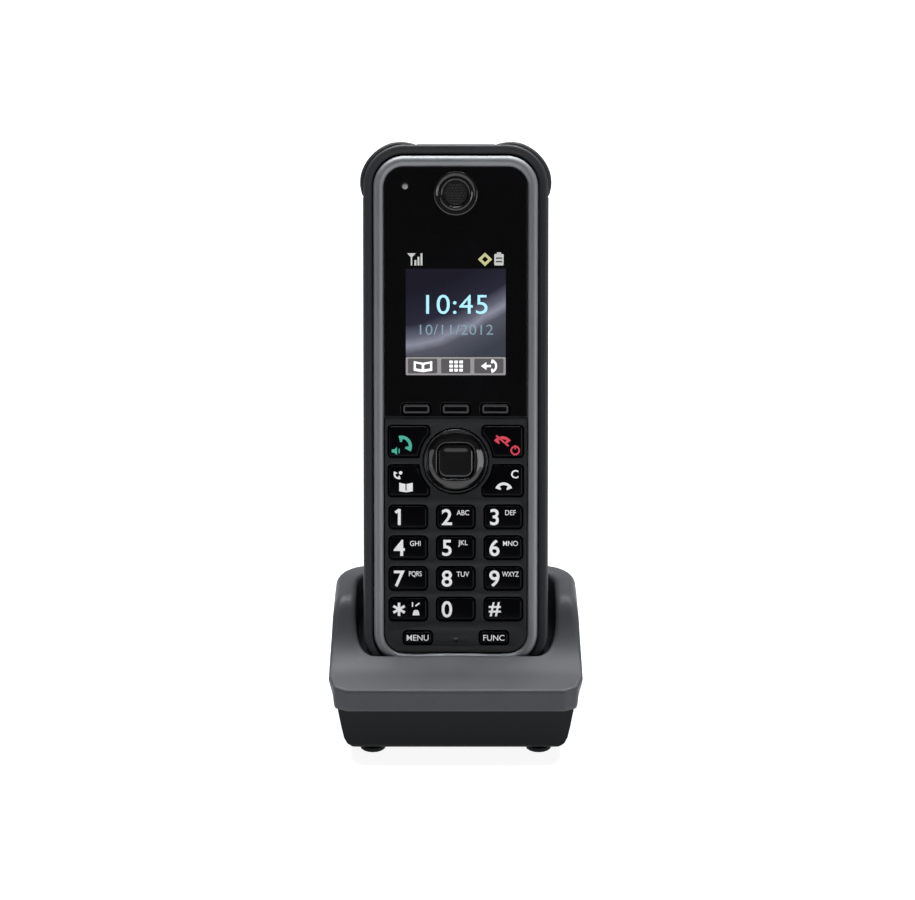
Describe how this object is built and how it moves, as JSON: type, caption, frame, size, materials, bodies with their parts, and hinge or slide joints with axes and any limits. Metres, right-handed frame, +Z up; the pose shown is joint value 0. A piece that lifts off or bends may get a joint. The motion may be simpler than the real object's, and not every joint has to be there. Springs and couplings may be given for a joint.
{
  "type": "cordless phone",
  "caption": "Cordless telephone handset with keypad and colour display, standing leant back in its compact charging base.",
  "frame": {"origin": "under the middle of the phone and base, on the surface they stand on", "axes": "+Z up, -Y towards the person who faces the keypad, +X to that person's right"},
  "size_m": [0.0712, 0.0792, 0.1624],
  "materials": {
    "base_plastic": "satin dark grey",
    "base_lower_plastic": "satin black",
    "foot_rubber": "matte",
    "charger_circuit": "solder mask",
    "jack_plastic": "matte black",
    "steel": "plated",
    "gold_plating": "gold plated",
    "rear_case_rubber": "soft touch",
    "bumper_rubber": "fine grain",
    "trim_paint": "satin grey metallic paint on plastic",
    "window_gloss": "polished black",
    "keypad_plastic": "fine matte",
    "key_plastic": "satin with printed legends",
    "nav_gloss": "polished",
    "receiver_gloss": "polished",
    "lens_plastic": "clear",
    "lcd_glass": "colour display",
    "circuit_board": "solder mask",
    "silicone": "silicone",
    "battery_wrap": "label film",
    "cover_plastic": "fine matte",
    "lock_plastic": "matte",
    "component_metal": "stamped"
  },
  "bodies": {
    "cradle": {"cradle_upper_housing": "base_plastic", "cradle_lower_housing": "base_lower_plastic", "foot_front_left": "foot_rubber", "foot_front_right": "foot_rubber", "foot_rear_left": "foot_rubber", "foot_rear_right": "foot_rubber", "charger_board": "charger_circuit", "power_jack": "jack_plastic", "cradle_screw_left": "steel", "cradle_screw_right": "steel"},
    "handset": {"front_case": "trim_paint", "keypad_bezel": "keypad_plastic", "display_window": "window_gloss", "rear_case": "rear_case_rubber", "bumper_left": "bumper_rubber", "bumper_right": "bumper_rubber", "receiver_ring": "receiver_gloss", "receiver": "component_metal", "indicator_lens": "lens_plastic", "lcd_module": "lcd_glass", "main_board": "circuit_board", "key_mat": "silicone", "battery_pack": "battery_wrap", "loudspeaker": "component_metal", "microphone": "component_metal", "charge_pad_left": "gold_plating", "charge_pad_right": "gold_plating", "vibration_motor": "component_metal", "case_seal": "silicone", "case_screw_left": "steel", "case_screw_right": "steel"},
    "key_0": {"key_0": "key_plastic"},
    "key_1": {"key_1": "key_plastic"},
    "key_2": {"key_2": "key_plastic"},
    "key_3": {"key_3": "key_plastic"},
    "key_4": {"key_4": "key_plastic"},
    "key_5": {"key_5": "key_plastic"},
    "key_6": {"key_6": "key_plastic"},
    "key_7": {"key_7": "key_plastic"},
    "key_8": {"key_8": "key_plastic"},
    "key_9": {"key_9": "key_plastic"},
    "key_star": {"key_star": "key_plastic"},
    "key_hash": {"key_hash": "key_plastic"},
    "talk_key": {"talk_key": "key_plastic"},
    "off_key": {"off_key": "key_plastic"},
    "message_key": {"message_key": "key_plastic"},
    "cancel_key": {"cancel_key": "key_plastic"},
    "soft_key_left": {"soft_key_left": "key_plastic"},
    "soft_key_centre": {"soft_key_centre": "key_plastic"},
    "soft_key_right": {"soft_key_right": "key_plastic"},
    "menu_key": {"menu_key": "key_plastic"},
    "func_key": {"func_key": "key_plastic"},
    "centre_key": {"centre_key": "nav_gloss"},
    "nav_rocker": {"nav_rocker": "silicone"},
    "nav_ring": {"nav_ring": "nav_gloss"},
    "battery_cover": {"battery_cover": "cover_plastic"},
    "cover_lock": {"cover_lock": "lock_plastic"},
    "vibration_weight": {"vibration_weight": "component_metal"},
    "charge_contact_left": {"charge_contact_left": "gold_plating"},
    "charge_contact_right": {"charge_contact_right": "gold_plating"}
  },
  "joints": [
    {"name": "handset_lift", "type": "slide", "parent": "cradle", "child": "handset", "axis": [0, 0.2756, 0.9613], "range_m": [0, 0.05]},
    {"name": "key_0_press", "type": "slide", "parent": "handset", "child": "key_0", "axis": [0, 0.9613, -0.2756], "range_m": [0, 0.0008], "stiffness_N_per_m": 300},
    {"name": "key_1_press", "type": "slide", "parent": "handset", "child": "key_1", "axis": [0, 0.9613, -0.2756], "range_m": [0, 0.0008], "stiffness_N_per_m": 300},
    {"name": "key_2_press", "type": "slide", "parent": "handset", "child": "key_2", "axis": [0, 0.9613, -0.2756], "range_m": [0, 0.0008], "stiffness_N_per_m": 300},
    {"name": "key_3_press", "type": "slide", "parent": "handset", "child": "key_3", "axis": [0, 0.9613, -0.2756], "range_m": [0, 0.0008], "stiffness_N_per_m": 300},
    {"name": "key_4_press", "type": "slide", "parent": "handset", "child": "key_4", "axis": [0, 0.9613, -0.2756], "range_m": [0, 0.0008], "stiffness_N_per_m": 300},
    {"name": "key_5_press", "type": "slide", "parent": "handset", "child": "key_5", "axis": [0, 0.9613, -0.2756], "range_m": [0, 0.0008], "stiffness_N_per_m": 300},
    {"name": "key_6_press", "type": "slide", "parent": "handset", "child": "key_6", "axis": [0, 0.9613, -0.2756], "range_m": [0, 0.0008], "stiffness_N_per_m": 300},
    {"name": "key_7_press", "type": "slide", "parent": "handset", "child": "key_7", "axis": [0, 0.9613, -0.2756], "range_m": [0, 0.0008], "stiffness_N_per_m": 300},
    {"name": "key_8_press", "type": "slide", "parent": "handset", "child": "key_8", "axis": [0, 0.9613, -0.2756], "range_m": [0, 0.0008], "stiffness_N_per_m": 300},
    {"name": "key_9_press", "type": "slide", "parent": "handset", "child": "key_9", "axis": [0, 0.9613, -0.2756], "range_m": [0, 0.0008], "stiffness_N_per_m": 300},
    {"name": "key_star_press", "type": "slide", "parent": "handset", "child": "key_star", "axis": [0, 0.9613, -0.2756], "range_m": [0, 0.0008], "stiffness_N_per_m": 300},
    {"name": "key_hash_press", "type": "slide", "parent": "handset", "child": "key_hash", "axis": [0, 0.9613, -0.2756], "range_m": [0, 0.0008], "stiffness_N_per_m": 300},
    {"name": "talk_key_press", "type": "slide", "parent": "handset", "child": "talk_key", "axis": [0, 0.9613, -0.2756], "range_m": [0, 0.0008], "stiffness_N_per_m": 300},
    {"name": "off_key_press", "type": "slide", "parent": "handset", "child": "off_key", "axis": [0, 0.9613, -0.2756], "range_m": [0, 0.0008], "stiffness_N_per_m": 300},
    {"name": "message_key_press", "type": "slide", "parent": "handset", "child": "message_key", "axis": [0, 0.9613, -0.2756], "range_m": [0, 0.0008], "stiffness_N_per_m": 300},
    {"name": "cancel_key_press", "type": "slide", "parent": "handset", "child": "cancel_key", "axis": [0, 0.9613, -0.2756], "range_m": [0, 0.0008], "stiffness_N_per_m": 300},
    {"name": "soft_key_left_press", "type": "slide", "parent": "handset", "child": "soft_key_left", "axis": [0, 0.9613, -0.2756], "range_m": [0, 0.0008], "stiffness_N_per_m": 300},
    {"name": "soft_key_centre_press", "type": "slide", "parent": "handset", "child": "soft_key_centre", "axis": [0, 0.9613, -0.2756], "range_m": [0, 0.0008], "stiffness_N_per_m": 300},
    {"name": "soft_key_right_press", "type": "slide", "parent": "handset", "child": "soft_key_right", "axis": [0, 0.9613, -0.2756], "range_m": [0, 0.0008], "stiffness_N_per_m": 300},
    {"name": "menu_key_press", "type": "slide", "parent": "handset", "child": "menu_key", "axis": [0, 0.9613, -0.2756], "range_m": [0, 0.0008], "stiffness_N_per_m": 300},
    {"name": "func_key_press", "type": "slide", "parent": "handset", "child": "func_key", "axis": [0, 0.9613, -0.2756], "range_m": [0, 0.0008], "stiffness_N_per_m": 300},
    {"name": "centre_key_press", "type": "slide", "parent": "handset", "child": "centre_key", "axis": [0, 0.9613, -0.2756], "range_m": [0, 0.0008], "stiffness_N_per_m": 300},
    {"name": "nav_tilt_sideways", "type": "hinge", "parent": "handset", "child": "nav_rocker", "pos_m": [0, -0.00414, 0.07595], "axis": [0, 0.2756, 0.9613], "range_deg": [-2.5, 2.5], "stiffness_Nm_per_rad": 0.05},
    {"name": "nav_tilt_up_down", "type": "hinge", "parent": "nav_rocker", "child": "nav_ring", "pos_m": [0, -0.00481, 0.07615], "axis": [1, 0, 0], "range_deg": [-2.5, 2.5], "stiffness_Nm_per_rad": 0.05},
    {"name": "battery_cover_off", "type": "slide", "parent": "handset", "child": "battery_cover", "axis": [0, 0.9613, -0.2756], "range_m": [0, 0.012]},
    {"name": "cover_lock_turn", "type": "hinge", "parent": "battery_cover", "child": "cover_lock", "pos_m": [0, 0.02636, 0.10705], "axis": [0, 0.9613, -0.2756], "range_deg": [0, 90]},
    {"name": "vibration_spin", "type": "hinge", "parent": "handset", "child": "vibration_weight", "pos_m": [0.0069, -0.00433, 0.03991], "axis": [1, 0, 0], "continuous": true},
    {"name": "charge_contact_left_press", "type": "slide", "parent": "cradle", "child": "charge_contact_left", "axis": [0, -0.2756, -0.9613], "range_m": [0, 0.0006], "stiffness_N_per_m": 150},
    {"name": "charge_contact_right_press", "type": "slide", "parent": "cradle", "child": "charge_contact_right", "axis": [0, -0.2756, -0.9613], "range_m": [0, 0.0006], "stiffness_N_per_m": 150}
  ]
}
